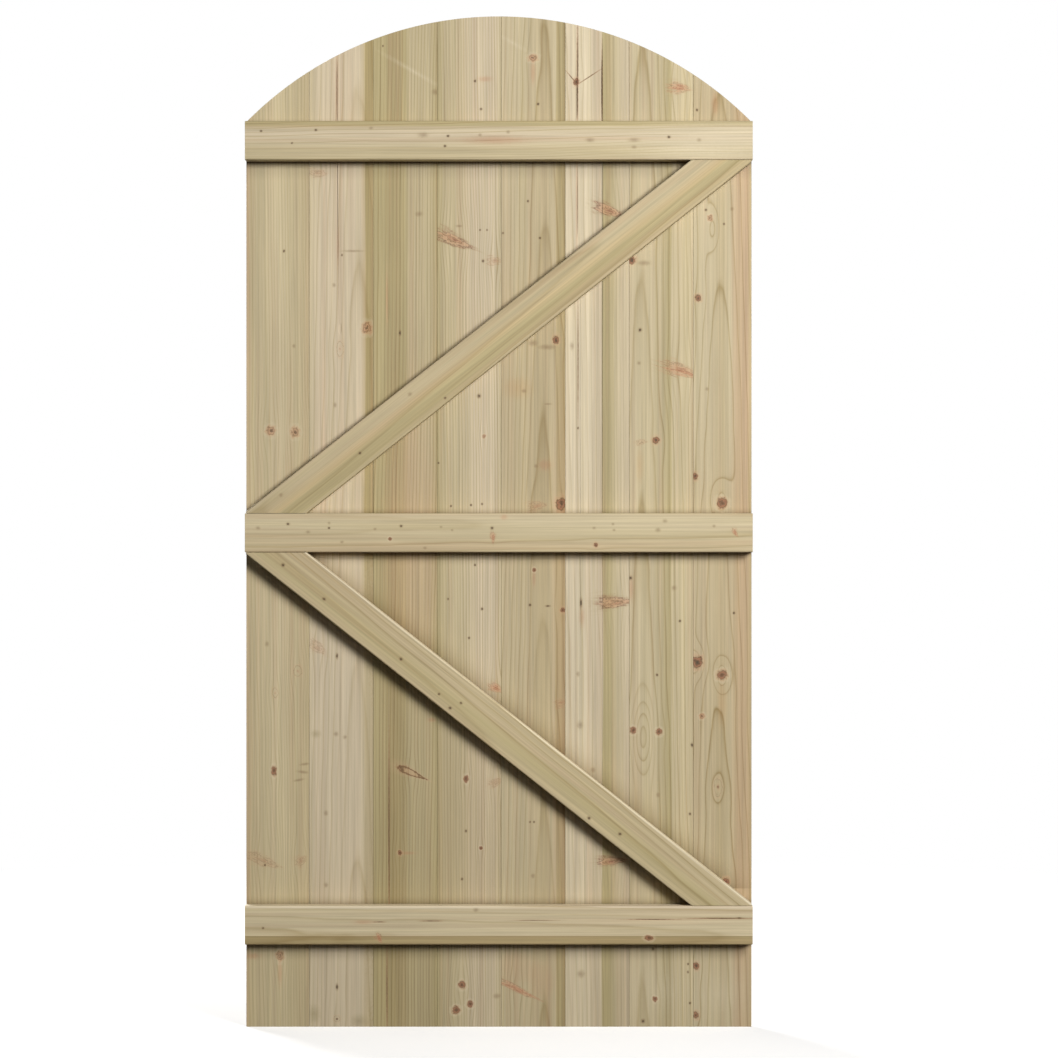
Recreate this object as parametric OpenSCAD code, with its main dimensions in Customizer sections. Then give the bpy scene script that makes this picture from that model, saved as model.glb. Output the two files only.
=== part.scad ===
// Arched tongue and groove gate: a ledged and braced leaf, without posts or hinges.
// Millimetres. X runs across the gate, Z is up and the rails face -Y.
// The origin is at the middle of the foot, half way through the gate's thickness.

/* [Gate] */
// Width of the gate, which is also the length of the rails
gate_w = 900; // [600:1:1200]
// Height from the foot to the crown of the arch
gate_h = 1800; // [1400:1:2200]
// Rise of the arch from its springing line to its crown
arch_rise = 188; // [80:1:400]

/* [Boards] */
// Thickness of a board
board_t = 16; // [14:0.5:25]
// Face width that a full board covers
board_cover = 114; // [80:1:150]
// Face width of the first board, whose outer edge is ripped square
first_board_w = 112; // [80:1:150]
// Gap that shows between the faces of two boards
joint_gap = 0.4; // [0.2:0.1:1]
// Length of a tongue beyond the middle of its joint
tongue_l = 6; // [4:0.5:10]
// Thickness of a tongue
tongue_t = 5; // [4:0.5:6]
// Chamfer at the corners of a tongue's tip
tongue_chamfer = 0.8; // [0.2:0.1:1.5]
// Clearance between a tongue and its groove
tongue_clear = 0.2; // [0.1:0.05:0.5]
// Chamfer along each joint on the front, which makes the vee
vee = 2.5; // [1:0.5:4]

/* [Rails and braces] */
// Width of the planed stock that the rails and braces are cut from
stock_w = 69; // [50:1:95]
// Thickness of that stock
stock_t = 35; // [30:1:50]
// Radius of the stock's eased edges
arris_r = 3; // [1:0.5:5]
// Length of the boards' feet below the bottom rail
foot_h = 150; // [60:1:300]
// Drop of the top rail below the springing line of the arch
top_rail_drop = 2; // [0:1:60]
// Distance from the gate's edge to the end of a brace
brace_inset = 2; // [0:1:30]
// Height of the blunt nib at the feather end of a brace
brace_nib = 3; // [1:0.5:12]
// Gap between the end of a brace and its rail
brace_gap = 0.4; // [0.2:0.1:1]

/* [Nails] */
// Length of a nail
nail_l = 40; // [35:1:45]
// Diameter of a nail's shank
nail_d = 2.65; // [2:0.05:4]
// Diameter of a nail's head
nail_head_d = 6; // [4.5:0.1:9]
// Thickness of a nail's head
nail_head_t = 1.2; // [0.8:0.1:2]
// Length of a nail's point
nail_point = 4; // [2:0.5:8]
// Depth of a nail's head below the face of its board
nail_sink = 0.3; // [0:0.1:1]
// Clearance round a nail in its hole
nail_clear = 0.03; // [0.01:0.01:0.1]
// Distance from a board's edge to its nails
nail_edge = 26; // [15:1:36]
// Height between the two nails of one board in a rail
nail_stagger = 24; // [10:1:36]
// Least height between a brace's nail and the brace's end
nail_end = 16; // [10:1:40]

/* [Hidden] */
$fn = 48;
eps = 1; // overrun of a cutting tool past the face that it cuts

back_y = (stock_t - board_t) / 2; // plane where the boards lie on the rails
front_y = back_y + board_t;
rail_front_y = back_y - stock_t;
side_x = gate_w / 2;

springing_z = gate_h - arch_rise;
arch_r = (side_x ^ 2 + arch_rise ^ 2) / (2 * arch_rise);
arch_z = gate_h - arch_r;

bottom_rail_z = foot_h + stock_w / 2;
top_rail_z = springing_z - top_rail_drop - stock_w / 2;
middle_rail_z = (bottom_rail_z + top_rail_z) / 2;
lower_bay_z = (bottom_rail_z + middle_rail_z) / 2;
upper_bay_z = (middle_rail_z + top_rail_z) / 2;

// A brace fills the bay between two rails corner to corner, so its angle follows from the bay
brace_reach = side_x - brace_inset;
brace_half_h = (top_rail_z - middle_rail_z - stock_w) / 2 - brace_gap;
brace_diagonal = norm([brace_reach, brace_half_h - brace_nib]);
brace_angle = atan2(brace_half_h - brace_nib, brace_reach) + asin(stock_w / 2 / brace_diagonal);

// Boards, counted from the left edge. The last one is ripped to the width that is left.
board_count = round((gate_w - first_board_w) / board_cover) + 1;
function board_left(i) = i == 0 ? -side_x : -side_x + first_board_w + (i - 1) * board_cover;
function board_right(i) = i == board_count - 1 ? side_x : board_left(i + 1);

// Across-gate places of a board's two nails
function nail_x(i) = [board_left(i) + nail_edge, board_right(i) - nail_edge];

// Nail points are [x, z]. The pair in a rail is staggered, so that it doesn't split the grain.
function rail_nails(i, z) = [for (k = [0, 1]) [nail_x(i)[k], z + (0.5 - k) * nail_stagger]];

// A brace's nails lie on its centre line, where it has its full width
function brace_nails(i, z, lean) = [
    for (x = nail_x(i))
        if (abs(x) * tan(brace_angle) <= brace_half_h - nail_end)
            [x, z + lean * x * tan(brace_angle)]
];

function board_nails(i) = concat(
    rail_nails(i, bottom_rail_z), rail_nails(i, middle_rail_z), rail_nails(i, top_rail_z),
    brace_nails(i, lower_bay_z, falling), brace_nails(i, upper_bay_z, rising)
);

// Lean of a brace: rising or falling from left to right
rising = 1;
falling = -1;

BOARD_NODES = [for (i = [0 : board_count - 1]) str("board_", i + 1)];

// Outline of a tongue and both its shoulders, from the back face to the front
function tongue_edge(x) = let (
    shoulder = x - joint_gap / 2,
    tip = x + tongue_l,
    low = (board_t - tongue_t) / 2,
    high = (board_t + tongue_t) / 2
) [
    [shoulder, 0],
    [shoulder, low],
    [tip - tongue_chamfer, low],
    [tip, low + tongue_chamfer],
    [tip, high - tongue_chamfer],
    [tip - tongue_chamfer, high],
    [shoulder, high],
    [shoulder, board_t - vee],
    [shoulder - vee, board_t]
];

// Outline of a groove and both its shoulders, from the front face to the back
function groove_edge(x) = let (
    shoulder = x + joint_gap / 2,
    bottom = x + tongue_l + tongue_clear,
    low = (board_t - tongue_t) / 2 - tongue_clear,
    high = (board_t + tongue_t) / 2 + tongue_clear
) [
    [shoulder + vee, board_t],
    [shoulder, board_t - vee],
    [shoulder, high],
    [bottom, high],
    [bottom, low],
    [shoulder, low],
    [shoulder, 0]
];

// Cross section of a board: a groove on its left, a tongue on its right, plain at the gate's own edges
module board_section(i) {
    left = board_left(i);
    right = board_right(i);
    polygon(concat(
        i == board_count - 1 ? [[right, 0], [right, board_t]] : tongue_edge(right),
        i == 0 ? [[left, board_t], [left, 0]] : groove_edge(left)
    ));
}

// Everything under the arch, right through the gate
module under_arch() {
    translate([0, front_y + eps, arch_z]) rotate([90, 0, 0])
        cylinder(r = arch_r, h = board_t + 2 * eps, $fn = 480);
    translate([-side_x - eps, back_y - eps, -eps])
        cube([gate_w + 2 * eps, board_t + 2 * eps, arch_z + eps]);
}

// Points a nail's or a drill's own +Z from the front of the gate towards the rails
module from_front(point) {
    translate([point[0], front_y - nail_sink, point[1]]) rotate([90, 0, 0]) children();
}

module nail() {
    rotate_extrude() polygon([
        [0, 0],
        [nail_head_d / 2, 0],
        [nail_head_d / 2, nail_head_t],
        [nail_d / 2, nail_head_t],
        [nail_d / 2, nail_l - nail_point],
        [0, nail_l]
    ]);
}

// Hole for a nail: the sunk seat of its head and the bore of its shank
module nail_hole() {
    translate([0, 0, -nail_sink - eps])
        cylinder(d = nail_head_d + 2 * nail_clear, h = nail_sink + eps + nail_head_t + nail_clear);
    cylinder(d = nail_d + 2 * nail_clear, h = nail_l + nail_clear);
}

module board(i) {
    color("#cbb98f") difference() {
        intersection() {
            translate([0, back_y, 0]) linear_extrude(gate_h + eps) board_section(i);
            under_arch();
        }
        for (point = board_nails(i)) from_front(point) nail_hole();
    }
}

// Cross section of the planed stock, with its eased edges
module stock_section() {
    flat_w = stock_w - 2 * arris_r;
    flat_t = stock_t - 2 * arris_r;
    square([stock_t, flat_w], center = true);
    square([flat_t, stock_w], center = true);
    for (side = [-1, 1], end = [-1, 1])
        translate([side * flat_t / 2, end * flat_w / 2]) circle(arris_r);
}

// A length of stock that lies along X, with its back on the boards
module stock(length) {
    translate([-length / 2, back_y - stock_t / 2, 0])
        rotate([90, 0, 90]) linear_extrude(length) stock_section();
}

module rail(z) {
    color("#d2c196") difference() {
        translate([0, 0, z]) stock(gate_w);
        for (i = [0 : board_count - 1], point = rail_nails(i, z)) from_front(point) nail_hole();
    }
}

module brace(z, lean) {
    color("#cdbc90") difference() {
        intersection() {
            translate([0, 0, z]) rotate([0, -lean * brace_angle, 0])
                stock(2 * (brace_diagonal + stock_w));
            translate([-brace_reach, rail_front_y - eps, z - brace_half_h])
                cube([2 * brace_reach, stock_t + 2 * eps, 2 * brace_half_h]);
        }
        for (i = [0 : board_count - 1], point = brace_nails(i, z, lean)) from_front(point) nail_hole();
    }
}

module nails_of_rail(z) {
    color("#9aa0a2") for (i = [0 : board_count - 1], point = rail_nails(i, z)) from_front(point) nail();
}

module nails_of_brace(z, lean) {
    color("#9aa0a2")
        for (i = [0 : board_count - 1], point = brace_nails(i, z, lean)) from_front(point) nail();
}

for (i = [0 : board_count - 1]) board(i);
rail(bottom_rail_z);  // bottom_rail
rail(middle_rail_z);  // middle_rail
rail(top_rail_z);  // top_rail
brace(lower_bay_z, falling);  // lower_brace
brace(upper_bay_z, rising);  // upper_brace
nails_of_rail(bottom_rail_z);  // bottom_rail_nails
nails_of_rail(middle_rail_z);  // middle_rail_nails
nails_of_rail(top_rail_z);  // top_rail_nails
nails_of_brace(lower_bay_z, falling);  // lower_brace_nails
nails_of_brace(upper_bay_z, rising);  // upper_brace_nails
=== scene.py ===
from math import asin, atan2, hypot, radians, sqrt, tan

import bmesh
import bpy
from mathutils import Matrix, Vector


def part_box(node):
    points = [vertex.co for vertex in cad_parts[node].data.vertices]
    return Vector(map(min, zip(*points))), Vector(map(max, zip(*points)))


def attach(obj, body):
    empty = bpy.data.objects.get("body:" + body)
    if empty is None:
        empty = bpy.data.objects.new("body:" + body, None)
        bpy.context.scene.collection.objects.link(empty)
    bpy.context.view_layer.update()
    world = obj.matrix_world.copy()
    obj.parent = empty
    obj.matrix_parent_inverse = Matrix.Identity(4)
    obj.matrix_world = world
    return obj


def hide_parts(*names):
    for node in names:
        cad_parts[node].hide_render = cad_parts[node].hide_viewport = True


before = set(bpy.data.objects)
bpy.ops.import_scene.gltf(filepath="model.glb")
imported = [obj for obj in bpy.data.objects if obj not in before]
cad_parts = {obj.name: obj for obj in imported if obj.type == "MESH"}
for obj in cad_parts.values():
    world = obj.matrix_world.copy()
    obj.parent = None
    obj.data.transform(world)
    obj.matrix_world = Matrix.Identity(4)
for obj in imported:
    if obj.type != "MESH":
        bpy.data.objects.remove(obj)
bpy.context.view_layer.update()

scene = bpy.context.scene
scene.view_settings.view_transform = "Standard"
print("gate: frame loaded")
mm = 1000  # to a metre

# The photograph's own frame: where its pixels fall on the back of the boards
photo = {
    "side": 1058,  # pixels along each side
    "pixel": 0.0017815,  # metres of board that one pixel covers
    "middleCol": 498.95,  # column of the gate's middle
    "footRow": 1026.75,  # row of the gate's foot
    "distance": 6.4,  # metres from the lens to the boards
    "sensor": 36.0,
}
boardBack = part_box("board_1")[0].y  # the face that the rails are nailed to
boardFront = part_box("board_1")[1].y
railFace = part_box("top_rail")[0].y
cameraX = (photo["side"] / 2 - photo["middleCol"]) * photo["pixel"]
cameraZ = (photo["footRow"] - photo["side"] / 2) * photo["pixel"]


def photoSpot(col, row, plane):
    reach = photo["distance"] - (boardBack - plane)
    scale = photo["pixel"] * reach / photo["distance"]
    x = cameraX + (col - photo["side"] / 2) * scale
    z = cameraZ - (row - photo["side"] / 2) * scale
    return Vector((x, plane, z))


# Tints of planed, green-treated softwood, as sRGB from 0 to 255
tints = {
    "cream": (218, 203, 173),
    "palePink": (206, 190, 161),
    "straw": (199, 184, 150),
    "wheat": (206, 190, 153),
    "tan": (190, 173, 137),
    "lightOlive": (191, 176, 141),
    "olive": (181, 166, 124),
    "deepOlive": (170, 152, 108),
    "bronze": (174, 158, 117),
    "umber": (164, 145, 104),
    "rose": (196, 170, 136),
    "honey": (196, 174, 132),
    "ink": (58, 44, 30),
    "brown": (116, 88, 58),
    "bark": (98, 64, 42),
    "fawn": (181, 160, 122),
    "rust": (148, 98, 68),
    "chestnut": (138, 94, 70),
    "salmon": (192, 140, 106),
    "blush": (200, 164, 130),
    "orange": (194, 150, 98),
    "pale": (216, 202, 172),
    "moss": (140, 126, 84),
    "lilac": (204, 189, 162),
}


def tint(name, alpha=1.0):
    # from sRGB to the linear light that shaders use
    return tuple(((part / 255 + 0.055) / 1.055) ** 2.4 for part in tints[name]) + (alpha,)


# Node helpers: each one adds a node and gives back the socket that comes out of it
def addNode(tree, kind, **settings):
    made = tree.nodes.new(kind)
    for name, value in settings.items():
        setattr(made, name, value)
    return made


def feed(tree, socket, value):
    if isinstance(value, bpy.types.NodeSocket):
        tree.links.new(value, socket)
    else:
        socket.default_value = value


def sums(tree, operation, *values):
    made = addNode(tree, "ShaderNodeMath", operation=operation)
    for socket, value in zip(made.inputs, values):
        feed(tree, socket, value)
    return made.outputs[0]


def vectorSum(tree, operation, *values):
    made = addNode(tree, "ShaderNodeVectorMath", operation=operation)
    for socket, value in zip(made.inputs, values):
        feed(tree, socket, value)
    return made.outputs["Value" if operation in ("LENGTH", "DOT_PRODUCT") else "Vector"]


def centred(tree, figure):
    return sums(tree, "SUBTRACT", figure, 0.5)  # a noise swings about 0.5


def scaled(tree, vector, factor):
    made = addNode(tree, "ShaderNodeVectorMath", operation="SCALE")
    feed(tree, made.inputs["Vector"], vector)
    feed(tree, made.inputs["Scale"], factor)
    return made.outputs["Vector"]


def mixed(tree, factor, first, second, blend="MIX"):
    made = addNode(tree, "ShaderNodeMix", data_type="RGBA", blend_type=blend)
    colours = [socket for socket in made.inputs if socket.type == "RGBA"]
    feed(tree, made.inputs[0], factor)
    feed(tree, colours[0], first)
    feed(tree, colours[1], second)
    return next(socket for socket in made.outputs if socket.type == "RGBA")


def mapped(tree, value, low, high, toLow, toHigh):
    made = addNode(tree, "ShaderNodeMapRange")
    for socket, number in zip(made.inputs, (value, low, high, toLow, toHigh)):
        feed(tree, socket, number)
    return made.outputs[0]


def ramp(tree, value, stops):
    made = addNode(tree, "ShaderNodeValToRGB")
    feed(tree, made.inputs[0], value)
    elements = made.color_ramp.elements
    while len(elements) < len(stops):
        elements.new(1.0)
    for element, (place, colour) in zip(elements, stops):
        element.position = place
        element.color = colour
    return made


def noise(tree, place, stretch, detail, rough):
    made = addNode(tree, "ShaderNodeTexNoise", noise_dimensions="3D")
    feed(tree, made.inputs["Vector"], vectorSum(tree, "MULTIPLY", place, stretch))
    feed(tree, made.inputs["Scale"], 1.0)
    feed(tree, made.inputs["Detail"], detail)
    feed(tree, made.inputs["Roughness"], rough)
    return made.outputs[0]


# How a mark's tint runs from its middle (0) past its rim (0.5) to clear wood (1): place, tint and strength
markKinds = {
    "pin": [(0.0, "ink", 0.95), (0.2, "ink", 0.85), (0.36, "brown", 0.6), (0.55, "brown", 0.28),
            (0.8, "umber", 0.08), (1.0, "tan", 0.0)],
    "knot": [(0.0, "bark", 0.95), (0.18, "bark", 0.85), (0.27, "chestnut", 0.9), (0.36, "rust", 0.85),
             (0.43, "bark", 0.8), (0.5, "chestnut", 0.5), (0.6, "blush", 0.4), (0.78, "pale", 0.2),
             (1.0, "pale", 0.0)],
    "deadKnot": [(0.0, "ink", 0.9), (0.18, "bark", 0.9), (0.27, "chestnut", 0.9), (0.35, "rust", 0.85),
                 (0.41, "bark", 0.9), (0.49, "brown", 0.6), (0.58, "salmon", 0.35), (0.78, "blush", 0.18),
                 (1.0, "blush", 0.0)],
    "pinkKnot": [(0.0, "bark", 0.85), (0.13, "bark", 0.7), (0.22, "salmon", 0.6), (0.32, "rust", 0.6),
                 (0.4, "brown", 0.7), (0.48, "salmon", 0.45), (0.6, "blush", 0.35), (0.8, "pale", 0.15),
                 (1.0, "pale", 0.0)],
    "spike": [(0.0, "rust", 0.9), (0.1, "salmon", 0.75), (0.2, "rust", 0.8), (0.28, "salmon", 0.55),
              (0.42, "salmon", 0.4), (0.48, "brown", 0.6), (0.56, "salmon", 0.24), (0.72, "umber", 0.1),
              (1.0, "tan", 0.0)],
    "darkSpike": [(0.0, "chestnut", 0.85), (0.1, "salmon", 0.7), (0.2, "brown", 0.8), (0.28, "salmon", 0.6),
                  (0.4, "salmon", 0.4), (0.46, "bark", 0.75), (0.54, "rust", 0.35), (0.72, "umber", 0.12),
                  (1.0, "tan", 0.0)],
    "horn": [(0.0, "salmon", 0.3), (0.24, "salmon", 0.3), (0.34, "brown", 0.8), (0.44, "bark", 0.85),
             (0.52, "rust", 0.4), (0.64, "blush", 0.15), (1.0, "blush", 0.0)],
    "fadedSpike": [(0.0, "rust", 0.5), (0.1, "salmon", 0.35), (0.2, "brown", 0.5), (0.28, "salmon", 0.25),
                   (0.42, "salmon", 0.18), (0.48, "brown", 0.45), (0.58, "salmon", 0.12), (1.0, "tan", 0.0)],
    "eye": [(0.0, "rust", 0.5), (0.14, "blush", 0.25), (0.4, "tan", 0.05), (0.47, "brown", 0.4),
            (0.54, "blush", 0.25), (0.8, "tan", 0.0)],
    "smudge": [(0.0, "brown", 0.5), (0.4, "brown", 0.28), (0.7, "umber", 0.12), (1.0, "tan", 0.0)],
    "shake": [(0.0, "ink", 0.9), (0.3, "brown", 0.8), (0.6, "rust", 0.35), (1.0, "tan", 0.0)],
}
# Washes of tint, which lie under the grain
washKinds = {
    "blushed": [(0.0, "salmon", 0.42), (0.4, "salmon", 0.3), (0.7, "blush", 0.14), (1.0, "blush", 0.0)],
    "rosy": [(0.0, "blush", 0.32), (0.6, "blush", 0.24), (1.0, "blush", 0.0)],
    "resin": [(0.0, "orange", 0.32), (0.5, "orange", 0.18), (1.0, "honey", 0.0)],
    "bleached": [(0.0, "pale", 0.5), (0.45, "pale", 0.2), (1.0, "cream", 0.0)],
    "mossy": [(0.0, "moss", 0.45), (0.5, "moss", 0.22), (1.0, "olive", 0.0)],
    "olived": [(0.0, "bronze", 0.45), (0.6, "bronze", 0.36), (1.0, "olive", 0.0)],
    "browned": [(0.0, "umber", 0.6), (0.5, "umber", 0.4), (1.0, "bronze", 0.0)],
    "fawned": [(0.0, "fawn", 0.3), (0.6, "fawn", 0.22), (1.0, "fawn", 0.0)],
    "chalky": [(0.0, "lilac", 0.6), (0.6, "lilac", 0.45), (1.0, "lilac", 0.0)],
}
# Grown in: the grain flows round it. Its outline wavers by a figure, per mm across, through and along
grownKinds = {
    "knot": {"figure": (0.12, 0.0, 0.12), "waver": 1.2, "taper": 0.0},
    "deadKnot": {"figure": (0.12, 0.0, 0.12), "waver": 1.3, "taper": 0.0},
    "pinkKnot": {"figure": (0.14, 0.0, 0.14), "waver": 1.4, "taper": 0.0},
    "eye": {"figure": (0.12, 0.0, 0.06), "waver": 0.8, "taper": 0.0},
    "spike": {"figure": (0.3, 0.0, 0.03), "waver": 2.2, "taper": 0.55},
    "darkSpike": {"figure": (0.26, 0.0, 0.03), "waver": 1.7, "taper": 0.5},
    "horn": {"figure": (0.2, 0.0, 0.04), "waver": 0.5, "taper": 0.6},
    "fadedSpike": {"figure": (0.3, 0.0, 0.05), "waver": 2.2, "taper": 0.4},
}
# What all the marks share
markShape = {
    "leastWidth": 0.3,  # how narrow a tapered end may get
    "figureDetail": 2.0,
    "figureRough": 0.55,
    "grit": 0.8,  # how far the grit roughens the rim
    "rim": 0.5,  # where the rim falls in a kind's run of tints
    "through": 1000.0,  # mm through the piece, so that a mark shows on both its faces
    "spread": (2.6, 6.0),  # how far the grain is parted, across and along, in mark sizes
    "push": 1.8,  # and by how much
}


def swell(col, row, wide, long, rise):
    # rings rise by so many round a place and close into loops; wide and long are in mm
    return {"col": col, "row": row, "wide": wide, "long": long, "rise": rise}


def mark(kind, col, row, wide, long, turn=0.0):
    # wide and long are half sizes in mm, turn is clockwise from the grain in degrees
    return {"kind": kind, "col": col, "row": row, "wide": wide, "long": long, "turn": turn}


def makeMarkGroup(name, grownIn):
    group = bpy.data.node_groups.new(name, "ShaderNodeTree")
    for kind, sockets in {"Vector": ("Place", "Centre", "Reach", "Spread", "Figure"),
                          "Float": ("Turn", "Grit", "Waver", "Taper")}.items():
        for socket in sockets:
            group.interface.new_socket(name=socket, in_out="INPUT", socket_type="NodeSocket" + kind)
    for socket in ("Distance", "Parting"):
        group.interface.new_socket(name=socket, in_out="OUTPUT", socket_type="NodeSocketFloat")
    given = addNode(group, "NodeGroupInput").outputs
    result = addNode(group, "NodeGroupOutput").inputs
    offset = vectorSum(group, "SUBTRACT", given["Place"], given["Centre"])
    turned = addNode(group, "ShaderNodeVectorRotate", rotation_type="Y_AXIS")
    feed(group, turned.inputs["Vector"], offset)
    feed(group, turned.inputs["Angle"], given["Turn"])
    share = vectorSum(group, "DIVIDE", turned.outputs[0], given["Reach"])
    if not grownIn:
        away = vectorSum(group, "LENGTH", share)
    else:
        # narrower towards its far end, with a wavering outline
        parts = addNode(group, "ShaderNodeSeparateXYZ")
        feed(group, parts.inputs[0], share)
        across, through, along = parts.outputs
        narrowed = sums(group, "MULTIPLY", sums(group, "MULTIPLY", along, given["Taper"]), -1.0)
        width = sums(group, "MAXIMUM", sums(group, "ADD", narrowed, 1.0), markShape["leastWidth"])
        side = sums(group, "DIVIDE", across, width)
        squared = sums(group, "MULTIPLY_ADD", side, side, sums(group, "MULTIPLY", along, along))
        away = sums(group, "SQRT", squared)
        spot = vectorSum(group, "ADD", turned.outputs[0], given["Centre"])
        figure = noise(group, spot, given["Figure"], markShape["figureDetail"], markShape["figureRough"])
        away = sums(group, "MULTIPLY_ADD", centred(group, figure), given["Waver"], away)
    ragged = sums(group, "MULTIPLY_ADD", given["Grit"], markShape["grit"], away)
    feed(group, result["Distance"], sums(group, "MULTIPLY", ragged, markShape["rim"]))
    if grownIn:
        # the grain is pushed aside, most of all just outside the rim
        spread = vectorSum(group, "DIVIDE", offset, given["Spread"])
        falling = sums(group, "MULTIPLY", vectorSum(group, "DOT_PRODUCT", spread, spread), -1.0)
        sideways = addNode(group, "ShaderNodeSeparateXYZ")
        feed(group, sideways.inputs[0], spread)
        push = sums(group, "MULTIPLY", sideways.outputs["X"], sums(group, "EXPONENT", falling))
        feed(group, result["Parting"], push)
    return group


stainGroup = makeMarkGroup("grainStain", False)
knotGroup = makeMarkGroup("grainKnot", True)

# What all the timber shares; lengths in mm
grainLooks = {
    # how fast each figure changes, per mm across, through and along; then its detail and roughness
    "fibre": ((1.1, 1.1, 0.014), 3.0, 0.6),
    "thread": ((0.25, 0.2, 0.0026), 2.0, 0.55),
    "streak": ((0.085, 0.05, 0.0012), 3.0, 0.55),
    "mottle": ((0.025, 0.02, 0.006), 3.0, 0.5),
    "sway": ((0.011, 0.02, 0.0019), 2.0, 0.5),
    "grit": ((0.28, 0.28, 0.22), 2.0, 0.6),
    "shift": (37.0, 91.0, 613.0),  # between the figures of one piece and the next
    # share of the tint that each figure moves
    "depths": {"fibre": 0.34, "thread": 0.56, "streak": 0.20, "mottle": 0.12},
    # streaks that run to pink and to green, and how far
    "streakTints": [{"tint": "blush", "span": (0.5, 0.25), "share": 0.30},
                    {"tint": "olive", "span": (0.5, 0.75), "share": 0.34}],
    "ringMottle": 0.5,  # rings by which the mottle bends the growth lines
    # how dark the wood is from one ring to the next
    "late": [(0.0, 0.2), (0.1, 0.0), (0.5, 0.08), (0.76, 0.5), (0.9, 1.0), (1.0, 0.2)],
    "crisp": 1.5,
    "faintYear": 0.35,  # the faintest ring, against the strongest
    "waver": 9.0,  # how far the edges of the bands wander
    "lineTint": (0.60, 0.53, 0.36, 1.0),  # latewood, against the wood round it
    "endTint": (0.62, 0.56, 0.46, 1.0),  # end grain, against the face
    "endFacing": (0.75, 0.95),
    "fibreSpan": (0.3, 0.7),
    "roughness": (0.58, 0.76),
    "specular": 0.25,
    "bump": 0.22,
    "bumpDepth": 0.0006,
}

# Painted shade on the boards along the upper edges of the rails and braces, darkest at the edge
paintedLedgeShade = {"tint": (0.58, 0.56, 0.51, 1.0), "fall": 2.2}  # fall: how fast it fades away
paintedShadeDepth = 2.0  # mm that it goes into the board


def paintedShadeAlong(tree, grain, ledge, centre, intoGrain):
    # painted shade: darkest at the ledge's edge and fading over its reach, only on the face of the boards
    # that the rails are nailed to
    offset = vectorSum(tree, "SUBTRACT", grain, intoGrain @ (ledge["point"] - centre) * mm)
    away = sums(tree, "ABSOLUTE", vectorSum(tree, "DOT_PRODUCT", offset, intoGrain @ ledge["normal"]))
    near = sums(tree, "POWER", mapped(tree, away, 0.0, ledge["reach"], 1.0, 0.0), ledge["fall"])
    height = sums(tree, "ABSOLUTE", vectorSum(tree, "DOT_PRODUCT", offset, (0.0, 0.0, 1.0)))
    depth = vectorSum(tree, "DOT_PRODUCT", offset, (0.0, 1.0, 0.0))
    onFace = sums(tree, "MULTIPLY", sums(tree, "LESS_THAN", height, ledge["halfBay"] * mm),
                  sums(tree, "LESS_THAN", depth, paintedShadeDepth))
    return sums(tree, "MULTIPLY", near, onFace)


def roughen(tree, shader, height, strength, depth):
    bump = addNode(tree, "ShaderNodeBump")
    feed(tree, bump.inputs["Height"], height)
    bump.inputs["Strength"].default_value = strength
    bump.inputs["Distance"].default_value = depth
    feed(tree, shader.inputs["Normal"], bump.outputs[0])


def laidOn(tree, colour, spots, kinds):
    for spot, distance in spots:
        if spot["kind"] in kinds:
            stops = [(at, tint(name, strength)) for at, name, strength in kinds[spot["kind"]]]
            run = ramp(tree, distance, stops)
            colour = mixed(tree, run.outputs["Alpha"], colour, run.outputs["Color"])
    return colour


def grained(tree, colour, looks, along, figures, line):
    level = looks["tone"]
    for name, depth in grainLooks["depths"].items():
        level = sums(tree, "MULTIPLY_ADD", centred(tree, figures[name]), depth, level)
    colour = scaled(tree, colour, level)
    if "footShade" in looks:  # painted shade: the boards darker towards their feet
        foot = mapped(tree, along, looks["footShade"]["low"], looks["footShade"]["high"], 1.0, 0.0)
        colour = mixed(tree, foot, colour, looks["footShade"]["tint"], "MULTIPLY")
    strength = sums(tree, "MULTIPLY", line, looks["line"])
    return mixed(tree, strength, colour, grainLooks["lineTint"], "MULTIPLY")


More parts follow.
